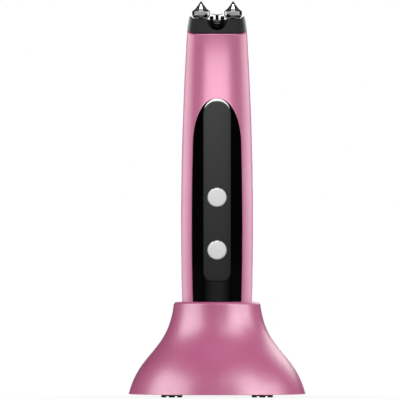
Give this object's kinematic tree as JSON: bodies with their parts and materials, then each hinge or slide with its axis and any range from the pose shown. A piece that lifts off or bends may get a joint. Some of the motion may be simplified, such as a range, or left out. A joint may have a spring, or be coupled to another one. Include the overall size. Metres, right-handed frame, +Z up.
{
  "type": "eye massager",
  "caption": "Cordless microcurrent eye massager: a slim pink handset with faceted chrome rollers and round buttons, standing in a bell-shaped charging stand.",
  "frame": {"origin": "on the ground below the centre of the charging stand", "axes": "+Z up along the handset, -Y towards the front with the control panel, +X to the right as seen from the front"},
  "size_m": [0.0796, 0.0796, 0.1783],
  "materials": {
    "pearl_pink": "pearlescent pink paint on moulded plastic",
    "panel_black": "high gloss",
    "strip_grey": "satin",
    "lens_white": "milky light guide",
    "button_silver": "pearl silver paint",
    "head_black": "semi gloss",
    "roller_chrome": "polished facets",
    "steel": "turned",
    "contact_gold": "plated",
    "board_green": "solder mask on glass-filled resin",
    "chip_black": "moulded epoxy",
    "cell_silver": "foil pouch",
    "inner_grey": "moulded",
    "dark_plastic": "moulded",
    "foot_rubber": "matt"
  },
  "bodies": {
    "stand": {"stand_shell": "pearl_pink", "stand_socket": "dark_plastic", "stand_base_plate": "dark_plastic", "charge_board": "board_green", "charge_inlet": "steel", "stand_foot_front_left": "foot_rubber", "stand_foot_front_right": "foot_rubber", "stand_foot_rear_left": "foot_rubber", "stand_foot_rear_right": "foot_rubber", "stand_screw_front_left": "steel", "stand_screw_front_right": "steel", "stand_screw_rear_left": "steel", "stand_screw_rear_right": "steel", "charge_pin_barrel_left": "contact_gold", "charge_pin_barrel_right": "contact_gold", "charge_pin_spring_left": "steel", "charge_pin_spring_right": "steel"},
    "charge_pin_left_body": {"charge_pin_left": "contact_gold"},
    "charge_pin_right_body": {"charge_pin_right": "contact_gold"},
    "handset": {"front_shell": "pearl_pink", "rear_shell": "pearl_pink", "end_cap": "pearl_pink", "head_cap": "head_black", "centre_guide": "head_black", "control_panel": "panel_black", "control_strip": "strip_grey", "status_lens": "lens_white", "mode_switch": "steel", "power_switch": "steel", "main_board": "board_green", "control_chip": "chip_black", "boost_coil": "chip_black", "status_led": "lens_white", "chassis": "inner_grey", "battery": "cell_silver", "chassis_screw_lower": "steel", "chassis_screw_upper": "steel", "end_screw_left": "steel", "end_screw_right": "steel", "charge_contact_left": "contact_gold", "charge_contact_right": "contact_gold", "roller_axle_left": "steel", "roller_axle_right": "steel", "roller_collar_left": "dark_plastic", "roller_collar_right": "dark_plastic", "roller_contact_left": "contact_gold", "roller_contact_right": "contact_gold"},
    "power_button_body": {"power_button": "button_silver", "power_switch_plunger": "dark_plastic"},
    "mode_button_body": {"mode_button": "button_silver", "mode_switch_plunger": "dark_plastic"},
    "roller_left_body": {"roller_left": "roller_chrome"},
    "roller_right_body": {"roller_right": "roller_chrome"}
  },
  "joints": [
    {"name": "handset_lift", "type": "slide", "parent": "stand", "child": "handset", "axis": [0, 0, 1], "range_m": [0, 0.05]},
    {"name": "power_button_press", "type": "slide", "parent": "handset", "child": "power_button_body", "axis": [0, 1, 0], "range_m": [0, 0.0006], "stiffness_N_per_m": 800},
    {"name": "mode_button_press", "type": "slide", "parent": "handset", "child": "mode_button_body", "axis": [0, 1, 0], "range_m": [0, 0.0006], "stiffness_N_per_m": 800},
    {"name": "roller_left_spin", "type": "hinge", "parent": "handset", "child": "roller_left_body", "pos_m": [-0.0072, 0, 0.171], "axis": [0, 0, 1], "continuous": true},
    {"name": "roller_right_spin", "type": "hinge", "parent": "handset", "child": "roller_right_body", "pos_m": [0.0072, 0, 0.171], "axis": [0, 0, 1], "continuous": true},
    {"name": "charge_pin_left_press", "type": "slide", "parent": "stand", "child": "charge_pin_left_body", "axis": [0, 0, -1], "range_m": [0, 0.001], "stiffness_N_per_m": 300, "deforming": ["charge_pin_spring_left"]},
    {"name": "charge_pin_right_press", "type": "slide", "parent": "stand", "child": "charge_pin_right_body", "axis": [0, 0, -1], "range_m": [0, 0.001], "stiffness_N_per_m": 300, "deforming": ["charge_pin_spring_right"]}
  ]
}
